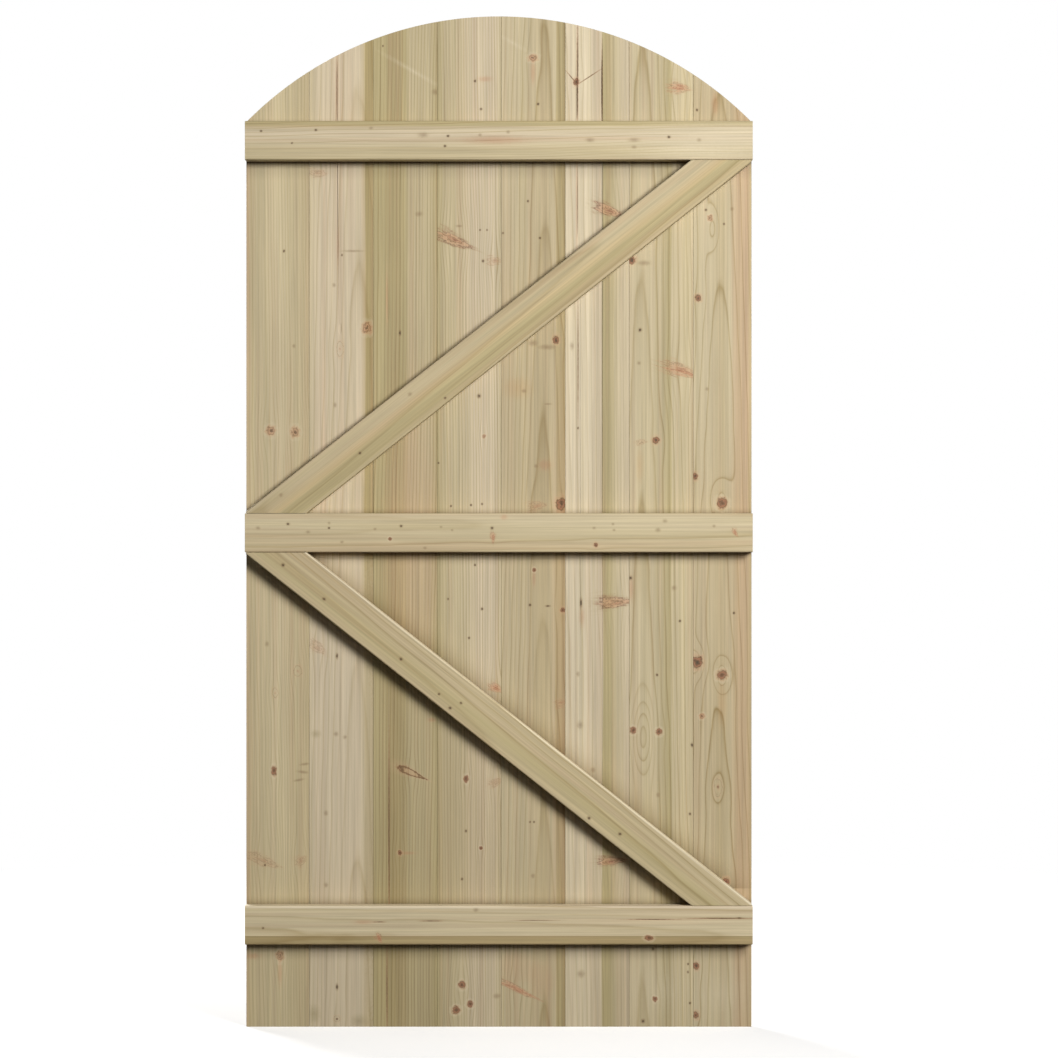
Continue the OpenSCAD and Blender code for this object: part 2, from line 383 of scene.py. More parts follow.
def timber(name, looks, centre, turn, width, face, seed):
    # centre and turn set the grain's own axes: X across, Y through and Z along, in mm
    material = bpy.data.materials.new(name)
    material.use_nodes = True
    tree = material.node_tree
    shader = tree.nodes["Principled BSDF"]
    coordinates = addNode(tree, "ShaderNodeTexCoord")
    mapping = addNode(tree, "ShaderNodeMapping", vector_type="TEXTURE")
    feed(tree, mapping.inputs["Vector"], coordinates.outputs["Object"])
    mapping.inputs["Location"].default_value = centre
    mapping.inputs["Rotation"].default_value = (0.0, turn, 0.0)
    mapping.inputs["Scale"].default_value = (1 / mm, 1 / mm, 1 / mm)
    grain = mapping.outputs[0]
    seeded = vectorSum(tree, "ADD", grain, [seed * shift for shift in grainLooks["shift"]])
    intoGrain = Matrix.Rotation(turn, 3, "Y").inverted()
    figures = {figure: noise(tree, seeded, *grainLooks[figure])
               for figure in ("fibre", "thread", "streak", "mottle", "sway", "grit")}
    sway = centred(tree, figures["sway"])
    grit = centred(tree, figures["grit"])

    def grainPlace(spot):
        return intoGrain @ (photoSpot(spot["col"], spot["row"], face) - centre) * mm

    # each mark's distance, and the push that it gives the grain
    axes = addNode(tree, "ShaderNodeSeparateXYZ")
    feed(tree, axes.inputs[0], grain)
    across, through, along = axes.outputs
    parted = across
    spots = []
    for spot in looks["marks"]:
        grownIn = grownKinds.get(spot["kind"])
        group = addNode(tree, "ShaderNodeGroup", node_tree=knotGroup if grownIn else stainGroup)
        feed(tree, group.inputs["Place"], grain)
        feed(tree, group.inputs["Grit"], grit)
        group.inputs["Centre"].default_value = grainPlace(spot)
        group.inputs["Reach"].default_value = (spot["wide"], markShape["through"], spot["long"])
        group.inputs["Turn"].default_value = -radians(spot["turn"])
        spots.append((spot, group.outputs["Distance"]))
        if grownIn:
            group.inputs["Figure"].default_value = grownIn["figure"]
            group.inputs["Waver"].default_value = grownIn["waver"]
            group.inputs["Taper"].default_value = grownIn["taper"]
            size = min(spot["wide"], spot["long"])
            wide, long = markShape["spread"]
            group.inputs["Spread"].default_value = (size * wide, markShape["through"], size * long)
            push = sums(tree, "MULTIPLY", group.outputs["Parting"], size * markShape["push"])
            parted = sums(tree, "SUBTRACT", parted, push)

    # growth rings round a pith that lies outside the piece
    pithAcross, pithThrough = looks["pith"]
    swayed = sums(tree, "MULTIPLY_ADD", sway, looks["sway"], parted)
    fromPith = sums(tree, "SUBTRACT", swayed, pithAcross)
    deep = sums(tree, "SUBTRACT", through, pithThrough)
    squared = sums(tree, "MULTIPLY_ADD", fromPith, fromPith, sums(tree, "MULTIPLY", deep, deep))
    radius = sums(tree, "MULTIPLY_ADD", along, looks["slope"], sums(tree, "SQRT", squared))
    rings = sums(tree, "MULTIPLY_ADD", figures["mottle"], grainLooks["ringMottle"],
                 sums(tree, "DIVIDE", radius, looks["ring"]))
    for loop in looks.get("swells", []):
        offset = vectorSum(tree, "SUBTRACT", grain, grainPlace(loop))
        share = vectorSum(tree, "DIVIDE", offset, (loop["wide"], markShape["through"], loop["long"]))
        falling = sums(tree, "MULTIPLY", vectorSum(tree, "DOT_PRODUCT", share, share), -1.0)
        rings = sums(tree, "MULTIPLY_ADD", sums(tree, "EXPONENT", falling), loop["rise"], rings)
    year = addNode(tree, "ShaderNodeTexWhiteNoise", noise_dimensions="1D")
    feed(tree, year.inputs["W"], sums(tree, "FLOOR", rings))
    stops = [(at, (dark, dark, dark, 1)) for at, dark in grainLooks["late"]]
    late = ramp(tree, sums(tree, "FRACT", rings), stops)
    crisp = sums(tree, "POWER", late.outputs["Color"], looks.get("crisp", grainLooks["crisp"]))
    strong = mapped(tree, year.outputs["Value"], 0, 1, grainLooks["faintYear"], 1.0)
    line = sums(tree, "MULTIPLY", crisp, strong)

    # bands of tint across the piece, with wavy edges
    wavy = sums(tree, "MULTIPLY_ADD", sway, looks.get("waver", grainLooks["waver"]), across)
    bandPlace = sums(tree, "MULTIPLY_ADD", wavy, 1 / width, 0.5)
    bands = ramp(tree, bandPlace, [(place / width, tint(band)) for place, band in looks["bands"]])
    colour = bands.outputs["Color"]
    for run in grainLooks["streakTints"]:
        share = mapped(tree, figures["streak"], *run["span"], 0.0, run["share"])
        colour = mixed(tree, share, colour, tint(run["tint"]))

    # washes, the grain over them, painted shade and painted shadow beside the rails and braces, and then
    # what is drawn on the grain
    colour = laidOn(tree, colour, spots, washKinds)
    colour = grained(tree, colour, looks, along, figures, line)
    for ledge in looks.get("ledges", []):
        grimeAndShade = paintedShadeAlong(tree, grain, ledge, centre, intoGrain)
        colour = mixed(tree, grimeAndShade, colour, ledge["tint"], "MULTIPLY")
    colour = laidOn(tree, colour, spots, markKinds)

    # end grain soaks up more and looks darker
    alongAxis = Matrix.Rotation(turn, 3, "Y") @ Vector((0, 0, 1))
    facing = vectorSum(tree, "DOT_PRODUCT", coordinates.outputs["Normal"], alongAxis)
    facing = sums(tree, "ABSOLUTE", facing)
    soaked = mapped(tree, facing, *grainLooks["endFacing"], 0.0, 1.0)
    colour = mixed(tree, soaked, colour, grainLooks["endTint"], "MULTIPLY")

    fibre = figures["fibre"]
    feed(tree, shader.inputs["Base Color"], colour)
    matt = mapped(tree, fibre, *grainLooks["fibreSpan"], *grainLooks["roughness"])
    feed(tree, shader.inputs["Roughness"], matt)
    shader.inputs["Specular IOR Level"].default_value = grainLooks["specular"]
    roughen(tree, shader, fibre, grainLooks["bump"], grainLooks["bumpDepth"])
    return material


# Shaping helpers
sharpAngle = radians(32)  # edges that stay crisp in the shading
close = 1e-6  # metres that count as the same place
merged = 1e-7  # and points this near become one


def pieceFrom(bm, name):
    bmesh.ops.recalc_face_normals(bm, faces=bm.faces[:])
    mesh = bpy.data.meshes.new(name)
    bm.to_mesh(mesh)
    bm.free()
    piece = bpy.data.objects.new(name, mesh)
    scene.collection.objects.link(piece)
    return piece


def ease(bm, edges, size, segments):
    bmesh.ops.bevel(bm, geom=edges, offset=size, segments=segments, profile=0.5, affect="EDGES",
                    material=-1)


def carve(piece, cutter):
    cut = piece.modifiers.new("holes", "BOOLEAN")
    cut.operation = "DIFFERENCE"
    cut.solver = "EXACT"
    cut.object = cutter
    carved = bpy.data.meshes.new_from_object(piece.evaluated_get(bpy.context.evaluated_depsgraph_get()))
    whole = piece.data
    piece.modifiers.clear()
    carved.name = whole.name
    piece.data = carved
    bpy.data.meshes.remove(whole)
    bpy.data.objects.remove(cutter)


def dress(piece, material, node):
    piece.data.materials.clear()
    piece.data.materials.append(material)
    piece.data.shade_smooth()
    piece.data.set_sharp_from_angle(angle=sharpAngle)
    piece.modifiers.new("evenNormals", "WEIGHTED_NORMAL").keep_sharp = True
    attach(piece, "root")
    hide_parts(node)


# Nails, driven from the front; sizes in metres
nail = {
    "edge": 0.026,  # from a board's edge
    "stagger": 0.024,  # between the two nails of a board in a rail
    "end": 0.016,  # least height between a brace's nail and its end
    "length": 0.04,
    "shank": 0.00265,
    "head": 0.006,
    "headDeep": 0.0012,
    "sink": 0.0003,
    "clear": 0.00003,
    "sides": 24,
    "overcut": 0.001,  # past the face, so that the cut is clean
}
matchboard = {
    "count": 8,
    "gap": 0.0004,
    "tongue": 0.006,
    "tongueThick": 0.005,
    "tongueChamfer": 0.0008,
    "clear": 0.0002,
    "vee": 0.0025,
    "arris": 0.0003,
    "arrisSteps": 2,
    "rimAngle": 0.5,  # edges with a sharper turn are eased
    "slices": 12,  # cuts across a board, which its arched top follows
}
stock = {
    "width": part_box("top_rail")[1].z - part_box("top_rail")[0].z,
    "arris": 0.003,
    "arrisSteps": 6,
    "endArris": 0.0005,
    "endSteps": 2,
    "endAngle": 1.2,  # the ends meet the faces at more than this
    "nib": 0.003,  # blunt end of a brace
    "overrun": 1.6,  # length that a brace is cut from, against its box
}

boardNames = [f"board_{number}" for number in range(1, matchboard["count"] + 1)]
boardEdges = [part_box(boardNames[0])[0].x]
boardEdges += [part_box(name)[1].x - matchboard["tongue"] for name in boardNames[:-1]]
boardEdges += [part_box(boardNames[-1])[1].x]
boardThick = boardFront - boardBack

gateHalf = boardEdges[-1]
gateTop = max(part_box(name)[1].z for name in boardNames)
archFoot = 1.612  # springing line of the arch
archRise = gateTop - archFoot
archRadius = (gateHalf ** 2 + archRise ** 2) / (2 * archRise)


def archHeight(x):
    return gateTop - archRadius + sqrt(archRadius ** 2 - x ** 2)


def middle(node):
    low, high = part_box(node)
    return (low + high) / 2


def braceSlope(node):
    # a brace fills its bay from corner to corner, so its angle follows from its box
    low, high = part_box(node)
    reach, half = (high.x - low.x) / 2, (high.z - low.z) / 2
    diagonal = hypot(reach, half - stock["nib"])
    return atan2(half - stock["nib"], reach) + asin(stock["width"] / 2 / diagonal)


braceLean = {"lower_brace": -1, "upper_brace": 1}  # falls or rises from left to right


def railNails(node, left, right):
    z = middle(node).z
    return [(left + nail["edge"], z + nail["stagger"] / 2), (right - nail["edge"], z - nail["stagger"] / 2)]


def braceNails(node, left, right):
    low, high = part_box(node)
    rise = tan(braceSlope(node))
    most = (high.z - low.z) / 2 - nail["end"]
    spots = (left + nail["edge"], right - nail["edge"])
    return [(x, middle(node).z + braceLean[node] * x * rise) for x in spots if abs(x) * rise <= most]


railNames = ("bottom_rail", "middle_rail", "top_rail")


def nailsThrough(left, right, only=None):
    spots = []
    for node in railNames:
        if only in (None, node):
            spots += railNails(node, left, right)
    for node in braceLean:
        if only in (None, node):
            spots += braceNails(node, left, right)
    return spots


def holeCutter(name, spots, cracks, face):
    bm = bmesh.new()
    seat = -nail["sink"] - nail["headDeep"] - nail["clear"]
    tip = -nail["sink"] - nail["length"] - nail["clear"]
    head, shank = nail["head"] / 2 + nail["clear"], nail["shank"] / 2 + nail["clear"]
    # half the hole's section, turned round the nail's own axis
    section = [(0.0, nail["overcut"]), (head, nail["overcut"]), (head, seat), (shank, seat),
               (shank, tip), (0.0, tip)]
    for x, z in spots:
        path = [bm.verts.new((x + out, boardFront + y, z)) for out, y in section]
        sides = [bm.edges.new(pair) for pair in zip(path, path[1:])]
        bmesh.ops.spin(bm, geom=path + sides, cent=(x, 0, z), axis=(0, 1, 0), angle=radians(360),
                       steps=nail["sides"], use_merge=True)
    bmesh.ops.remove_doubles(bm, verts=bm.verts[:], dist=merged)
    # a drying crack is a thin lens, cut into the face along the grain
    lens = {"u_segments": 10, "v_segments": 9, "radius": 1.0}
    for split in cracks:
        first = photoSpot(split["col"], split["row"], face)
        last = photoSpot(split["toCol"], split["toRow"], face)
        along = last - first
        turn = along.to_track_quat("Z", "Y").to_matrix().to_4x4()
        size = Matrix.Diagonal((split["wide"] / 2 / mm, split["deep"] / mm, along.length / 2, 1))
        place = Matrix.Translation((first + last) / 2) @ turn @ size
        bmesh.ops.create_uvsphere(bm, matrix=place, **lens)
    return pieceFrom(bm, name)


def crack(col, row, toCol, toRow, wide, deep):
    # wide and deep in mm
    return {"col": col, "row": row, "toCol": toCol, "toRow": toRow, "wide": wide, "deep": deep}


# Boards from the left: bands are mm from the left edge, pith and ring are mm
boardLooks = [
    {  # board 1
        "tone": 1.005, "pith": (-120.0, 70.0), "ring": 4.4, "slope": 0.012, "sway": 16.0, "line": 0.62,
        "bands": [(0, "rose"), (6, "tan"), (16, "lightOlive"), (60, "straw"), (84, "lightOlive"),
                  (112, "tan")],
        "marks": [
            mark("pin", col=284, row=251, wide=2.0, long=2.6),
            mark("pinkKnot", col=271, row=431, wide=8.0, long=8.5),
            mark("pinkKnot", col=295, row=432, wide=7.5, long=9.0),
            mark("smudge", col=294, row=346, wide=2.5, long=3.0),
            mark("smudge", col=267, row=644, wide=3.0, long=4.0),
            mark("eye", col=298, row=671, wide=7.0, long=10.0),
            mark("eye", col=275, row=693, wide=5.0, long=8.0),
            mark("knot", col=274, row=771, wide=4.5, long=8.0),
            mark("smudge", col=305, row=764, wide=2.0, long=8.0, turn=82),
            mark("smudge", col=303, row=772, wide=2.4, long=9.0, turn=96),
            mark("smudge", col=299, row=780, wide=2.0, long=8.0, turn=80),
            mark("fadedSpike", col=264, row=861, wide=8.0, long=24.0, turn=112),
            mark("pin", col=265, row=865, wide=2.0, long=2.0),
            mark("fadedSpike", col=301, row=860, wide=7.0, long=10.0, turn=60),
            mark("pinkKnot", col=280, row=956, wide=6.0, long=8.5),
            mark("blushed", col=280, row=972, wide=3.0, long=20.0),
            mark("blushed", col=253, row=956, wide=10.0, long=4.5),
        ],
    },
    {  # board 2
        "tone": 0.975, "pith": (30.0, 60.0), "ring": 5.5, "slope": 0.016, "sway": 22.0, "line": 0.5,
        "bands": [(0, "straw"), (16, "palePink"), (90, "palePink"), (98, "tan"), (99.5, "deepOlive"),
                  (114, "deepOlive")],
        "marks": [
            mark("chalky", col=335, row=790, wide=60.0, long=280.0),
            mark("chalky", col=335, row=990, wide=56.0, long=70.0),
            mark("blushed", col=337, row=90, wide=2.0, long=56.0),
            mark("blushed", col=338, row=246, wide=1.6, long=28.0),
            mark("fadedSpike", col=318, row=173, wide=6.0, long=14.0, turn=88),
            mark("pin", col=342, row=255, wide=1.6, long=2.2),
            mark("smudge", col=353, row=251, wide=16.0, long=1.8, turn=0),
            mark("smudge", col=334, row=285, wide=2.5, long=3.0),
            mark("eye", col=340, row=349, wide=6.0, long=13.0),
            mark("smudge", col=335, row=405, wide=2.5, long=4.0),
            mark("fadedSpike", col=318, row=648, wide=7.0, long=16.0, turn=128),
            mark("pin", col=337, row=656, wide=2.0, long=5.0),
            mark("smudge", col=336, row=734, wide=3.5, long=3.5),
            mark("smudge", col=345, row=737, wide=3.0, long=3.0),
            mark("mossy", col=316, row=734, wide=6.0, long=5.0),
            mark("smudge", col=326, row=813, wide=3.0, long=4.0),
            mark("smudge", col=326, row=885, wide=3.0, long=4.0),
            mark("pin", col=337, row=987, wide=2.2, long=5.5),
            mark("eye", col=337, row=1019, wide=6.0, long=6.0),
            mark("pin", col=337, row=1019, wide=1.8, long=2.0),
            mark("mossy", col=314, row=1014, wide=8.0, long=11.0),
            mark("mossy", col=359, row=1021, wide=10.0, long=8.0),
            mark("pinkKnot", col=367, row=328, wide=9.0, long=10.0),
        ],
        "cracks": [
            crack(col=337, row=59, toCol=337, toRow=118, wide=1.2, deep=4.0),
            crack(col=338, row=233, toCol=338, toRow=261, wide=0.9, deep=3.0),
            crack(col=340.5, row=323, toCol=340, toRow=335, wide=1.4, deep=3.0),
        ],
    },
    {  # board 3
        "tone": 0.93, "pith": (-130.0, 60.0), "ring": 5.2, "slope": -0.010, "sway": 14.0, "line": 1.0,
        "bands": [(0, "olive"), (21, "olive"), (24, "bronze"), (42, "bronze"), (56, "olive"),
                  (64, "lightOlive"), (100, "lightOlive"), (114, "olive")],
        "marks": [
            mark("bleached", col=413, row=71, wide=3.0, long=42.0, turn=120),
            mark("pin", col=383, row=46, wide=1.6, long=2.0),
            mark("smudge", col=435, row=92, wide=5.0, long=5.0),
            mark("smudge", col=419, row=214, wide=6.0, long=4.0),
            mark("pin", col=400, row=333, wide=2.0, long=5.0),
            mark("blushed", col=387, row=300, wide=1.5, long=42.0),
            mark("olived", col=414, row=940, wide=60.0, long=420.0),
            mark("browned", col=395, row=800, wide=13.0, long=330.0),
            mark("rosy", col=414, row=545, wide=34.0, long=130.0),
            mark("blushed", col=432, row=720, wide=6.0, long=3.0),
            mark("horn", col=412, row=773, wide=5.5, long=27.0, turn=114),
            mark("deadKnot", col=400, row=853, wide=3.5, long=4.0),
            mark("blushed", col=407, row=853, wide=12.0, long=2.5),
            mark("shake", col=389, row=830, wide=1.0, long=135.0),
            mark("shake", col=387, row=988, wide=1.0, long=68.0),
        ],
        "cracks": [
            crack(col=387, row=278, toCol=387.5, toRow=324, wide=0.9, deep=3.0),
            crack(col=389, row=757, toCol=389, toRow=903, wide=0.9, deep=3.0),
        ],
    },
    {  # board 4
        "tone": 0.92, "pith": (-140.0, 50.0), "ring": 4.6, "slope": 0.008, "sway": 12.0, "line": 0.95,
        "bands": [(0, "olive"), (12, "lightOlive"), (44, "straw"), (66, "palePink"), (100, "palePink"),
                  (114, "straw")],
        "marks": [
            mark("fawned", col=469, row=830, wide=60.0, long=110.0),
            mark("pin", col=475, row=81, wide=2.4, long=2.6),
            mark("blushed", col=485, row=79, wide=10.0, long=4.0),
            mark("pin", col=481, row=109, wide=2.2, long=2.4),
            mark("darkSpike", col=454, row=240, wide=9.0, long=34.0, turn=113),
            mark("smudge", col=459, row=226, wide=5.0, long=2.0),
            mark("pin", col=480, row=230, wide=1.6, long=1.8),
            mark("pin", col=487, row=230, wide=1.6, long=1.8),
            mark("pin", col=483, row=261, wide=2.4, long=2.6),
            mark("fadedSpike", col=495, row=261, wide=7.0, long=12.0, turn=85),
            mark("pin", col=479, row=396, wide=3.2, long=3.4),
            mark("pinkKnot", col=484, row=436, wide=3.0, long=3.2),
            mark("pin", col=438.5, row=463, wide=1.8, long=2.0),
            mark("pin", col=451, row=506, wide=1.8, long=2.2),
            mark("pin", col=471, row=505, wide=1.8, long=2.2),
            mark("pin", col=482, row=504, wide=1.8, long=2.2),
            mark("pin", col=475, row=565, wide=2.0, long=2.4),
            mark("pin", col=448, row=599, wide=1.8, long=2.2),
            mark("pin", col=482, row=609, wide=2.2, long=2.6),
            mark("pin", col=469, row=638, wide=2.0, long=2.4),
            mark("spike", col=496, row=688, wide=6.5, long=12.0, turn=120),
            mark("knot", col=466, row=779, wide=4.5, long=6.0),
            mark("fadedSpike", col=496, row=782, wide=5.5, long=12.0, turn=70),
            mark("pin", col=466, row=831, wide=2.2, long=2.6),
            mark("knot", col=481, row=848, wide=3.0, long=3.0),
            mark("pin", col=462, row=879, wide=2.2, long=2.6),
            mark("knot", col=462, row=985, wide=6.0, long=6.5),
            mark("knot", col=470, row=1004, wide=5.5, long=6.0),
            mark("knot", col=456, row=1010, wide=7.0, long=6.5),
            mark("smudge", col=497, row=996, wide=6.0, long=4.0),
        ],
    },
    {  # board 5
        "tone": 0.90, "pith": (20.0, 55.0), "ring": 4.8, "slope": 0.014, "sway": 20.0, "line": 0.74,
        "bands": [(0, "straw"), (40, "straw"), (80, "tan"), (97, "straw"), (99, "olive"),
                  (114, "umber")],
        "marks": [
            mark("rosy", col=560, row=640, wide=9.0, long=330.0),
            mark("fawned", col=533, row=480, wide=60.0, long=300.0),
            mark("bleached", col=513, row=43, wide=3.0, long=22.0, turn=120),
            mark("pinkKnot", col=533, row=58, wide=8.0, long=6.0),
            mark("blushed", col=533, row=72, wide=4.0, long=18.0),
            mark("pin", col=538, row=104, wide=2.4, long=2.6),
            mark("pin", col=528, row=201, wide=2.0, long=2.4),
            mark("pin", col=540, row=238, wide=2.2, long=2.4),
            mark("pin", col=503, row=233, wide=1.8, long=2.0),
            mark("deadKnot", col=556, row=340, wide=5.5, long=7.0),
            mark("smudge", col=547, row=347, wide=14.0, long=4.0),
            mark("smudge", col=533, row=343, wide=7.0, long=5.0),
            mark("smudge", col=524, row=391, wide=4.0, long=3.0),
            mark("resin", col=518, row=388, wide=18.0, long=14.0),
            mark("smudge", col=548, row=404, wide=6.0, long=1.6),
            mark("smudge", col=536, row=466, wide=3.0, long=3.0),
            mark("blushed", col=545, row=465, wide=10.0, long=8.0),
            mark("deadKnot", col=561, row=504, wide=9.0, long=11.0),
            mark("fadedSpike", col=537, row=506, wide=7.0, long=15.0, turn=80),
            mark("knot", col=534, row=570, wide=3.0, long=3.4),
            mark("blushed", col=534, row=578, wide=2.6, long=14.0),
            mark("pin", col=530, row=605, wide=2.4, long=2.8),
            mark("pin", col=548, row=606, wide=4.0, long=1.8),
            mark("deadKnot", col=563, row=610, wide=4.5, long=5.0),
            mark("fadedSpike", col=561, row=703, wide=6.0, long=9.0, turn=70),
            mark("pin", col=530, row=822, wide=1.8, long=2.0),
            mark("pin", col=534, row=822, wide=1.8, long=2.0),
            mark("smudge", col=533, row=876, wide=3.0, long=4.0),
            mark("spike", col=517, row=989, wide=5.0, long=42.0, turn=115),
            mark("rosy", col=517, row=968, wide=20.0, long=18.0),
            mark("rosy", col=541, row=981, wide=14.0, long=20.0),
        ],
    },
    {  # board 6
        "tone": 0.877, "pith": (-70.0, 60.0), "ring": 5.0, "slope": 0.010, "sway": 16.0, "line": 0.46,
        "bands": [(0, "cream"), (44, "cream"), (52, "palePink"), (65, "palePink"), (67, "olive"),
                  (78, "olive"), (92, "straw"), (114, "palePink")],
        "marks": [
            mark("shake", col=577.5, row=72, wide=1.4, long=84.0),
            mark("deadKnot", col=576, row=82, wide=5.0, long=6.0),
            mark("shake", col=572, row=78, wide=0.8, long=13.0, turn=-40),
            mark("shake", col=589, row=77, wide=0.8, long=21.0, turn=57),
            mark("shake", col=602, row=89, wide=1.2, long=58.0),
            mark("blushed", col=577, row=201, wide=1.4, long=70.0),
            mark("darkSpike", col=610, row=211, wide=8.0, long=26.0, turn=112),
            mark("smudge", col=572, row=346, wide=3.0, long=6.0),
            mark("shake", col=578, row=360, wide=0.8, long=90.0),
            mark("pin", col=578, row=428, wide=1.8, long=2.2),
            mark("pin", col=581, row=603, wide=2.2, long=8.0),
            mark("blushed", col=582, row=617, wide=4.0, long=14.0),
            mark("darkSpike", col=616, row=602, wide=9.0, long=30.0, turn=88),
            mark("smudge", col=604, row=606, wide=3.4, long=4.5),
            mark("smudge", col=578, row=674, wide=3.0, long=4.0),
            mark("smudge", col=580, row=725, wide=5.0, long=6.0),
            mark("smudge", col=593, row=770, wide=4.0, long=4.0),
            mark("darkSpike", col=612, row=861, wide=7.0, long=23.0, turn=88),
            mark("smudge", col=581, row=974, wide=6.0, long=6.0),
        ],
        "cracks": [
            crack(col=577.5, row=28, toCol=577, toRow=75, wide=1.0, deep=3.0),
            crack(col=577, row=76.5, toCol=577, toRow=120, wide=1.8, deep=5.0),
            crack(col=602, row=58, toCol=602, toRow=120, wide=1.8, deep=5.0),
            crack(col=577.3, row=165, toCol=577.3, toRow=238, wide=0.8, deep=2.5),
            crack(col=578, row=340, toCol=578.5, toRow=392, wide=0.7, deep=2.0),
        ],
    },
    {  # board 7
        "tone": 0.90, "pith": (-32.0, 60.0), "ring": 5.0, "slope": 0.012, "sway": 20.0, "line": 0.8,
        "bands": [(0, "straw"), (40, "straw"), (56, "lightOlive"), (74, "olive"), (77, "straw"),
                  (92, "wheat"), (114, "wheat")],
        "swells": [
            swell(col=643, row=736, wide=20.0, long=60.0, rise=-3.4),
        ],
        "marks": [
            mark("bleached", col=660, row=990, wide=70.0, long=50.0),
            mark("spike", col=680, row=88, wide=8.0, long=18.0, turn=96),
            mark("deadKnot", col=632, row=260, wide=6.5, long=7.0),
            mark("smudge", col=644, row=263, wide=10.0, long=4.0),
            mark("pin", col=640, row=330, wide=3.0, long=3.4),
            mark("smudge", col=639, row=363, wide=3.0, long=3.0),
            mark("spike", col=682, row=371, wide=9.0, long=32.0, turn=108),
            mark("deadKnot", col=656, row=440, wide=6.0, long=6.0),
            mark("fadedSpike", col=642, row=442, wide=4.0, long=9.0, turn=80),
            mark("resin", col=640, row=466, wide=5.0, long=24.0),
            mark("pin", col=630.5, row=578, wide=3.0, long=3.4),
            mark("blushed", col=631, row=589, wide=4.0, long=18.0),
            mark("smudge", col=674, row=588, wide=4.0, long=4.0),
            mark("pin", col=680, row=621, wide=2.4, long=2.6),
            mark("pin", col=657, row=675, wide=2.4, long=2.6),
            mark("knot", col=633, row=730, wide=5.5, long=6.0),
            mark("knot", col=659, row=732, wide=5.5, long=6.0),
            mark("smudge", col=658, row=795, wide=3.0, long=4.0),
            mark("pin", col=692, row=745, wide=2.5, long=3.5),
            mark("pin", col=690, row=814, wide=2.2, long=2.6),
            mark("pin", col=653, row=949, wide=2.6, long=3.0),
            mark("knot", col=655, row=999, wide=4.0, long=4.5),
            mark("pin", col=643, row=1021, wide=3.2, long=3.6),
            mark("pin", col=688, row=964, wide=1.8, long=2.2),
            mark("pin", col=688, row=972, wide=1.8, long=2.2),
            mark("pin", col=690, row=1003, wide=2.0, long=2.4),
        ],
    },
    {  # board 8
        "tone": 0.905, "pith": (-6.0, 46.0), "ring": 7.2, "slope": 0.020, "sway": 26.0, "line": 1.0,
        "crisp": 3.2,
        "bands": [(0, "straw"), (30, "straw"), (50, "tan"), (66, "straw"), (78, "rose"), (96, "rose"),
                  (101, "honey"), (104, "tan")],
        "swells": [
            swell(col=713, row=230, wide=11.0, long=36.0, rise=1.6),
            swell(col=722, row=503, wide=22.0, long=46.0, rise=2.2),
            swell(col=722, row=676, wide=15.0, long=34.0, rise=2.4),
            swell(col=696, row=662, wide=16.0, long=30.0, rise=1.8),
            swell(col=718, row=789, wide=11.0, long=30.0, rise=1.0),
            swell(col=719, row=365, wide=14.0, long=90.0, rise=-0.5),
        ],
        "marks": [
            mark("fawned", col=716, row=100, wide=60.0, long=44.0),
            mark("fawned", col=712, row=108, wide=40.0, long=30.0),
            mark("fawned", col=716, row=680, wide=60.0, long=280.0),
            mark("bleached", col=720, row=995, wide=60.0, long=50.0),
            mark("pin", col=697, row=110, wide=2.2, long=2.6),
            mark("blushed", col=715, row=104, wide=5.0, long=16.0),
            mark("pinkKnot", col=710, row=218, wide=4.5, long=5.0),
            mark("pin", col=706, row=210, wide=2.2, long=2.4),
            mark("pin", col=724, row=224, wide=2.0, long=2.4),
            mark("smudge", col=732, row=209, wide=3.0, long=3.0),
            mark("deadKnot", col=698, row=298, wide=5.5, long=6.0),
            mark("smudge", col=707, row=389, wide=2.6, long=3.0),
            mark("deadKnot", col=695, row=476, wide=5.0, long=6.0),
            mark("knot", col=722, row=503, wide=9.0, long=9.5),
            mark("smudge", col=714, row=513, wide=3.0, long=3.0),
            mark("pin", col=734, row=613, wide=2.2, long=2.6),
            mark("deadKnot", col=697, row=662, wide=9.5, long=10.5),
            mark("knot", col=722, row=675, wide=8.5, long=9.0),
            mark("resin", col=722, row=704, wide=6.0, long=30.0),
            mark("pinkKnot", col=702, row=716, wide=4.5, long=5.0),
            mark("pin", col=718, row=787, wide=2.2, long=3.0),
            mark("eye", col=718, row=787, wide=7.0, long=16.0),
            mark("deadKnot", col=726, row=881, wide=5.5, long=6.0),
            mark("deadKnot", col=696, row=966, wide=5.5, long=6.0),
            mark("deadKnot", col=696, row=1015, wide=5.0, long=6.0),
        ],
    },
]


def tongueEdge(x):
    shoulder, tip = x - matchboard["gap"] / 2, x + matchboard["tongue"]
    low, high = (boardThick - matchboard["tongueThick"]) / 2, (boardThick + matchboard["tongueThick"]) / 2
    chamfer, vee = matchboard["tongueChamfer"], matchboard["vee"]
    return [(shoulder, 0), (shoulder, low), (tip - chamfer, low), (tip, low + chamfer),
            (tip, high - chamfer), (tip - chamfer, high), (shoulder, high),
            (shoulder, boardThick - vee), (shoulder - vee, boardThick)]


def grooveEdge(x):
    shoulder, bottom = x + matchboard["gap"] / 2, x + matchboard["tongue"] + matchboard["clear"]
    low = (boardThick - matchboard["tongueThick"]) / 2 - matchboard["clear"]
    high = boardThick - low
    vee = matchboard["vee"]
    return [(shoulder + vee, boardThick), (shoulder, boardThick - vee), (shoulder, high), (bottom, high),
            (bottom, low), (shoulder, low), (shoulder, 0)]


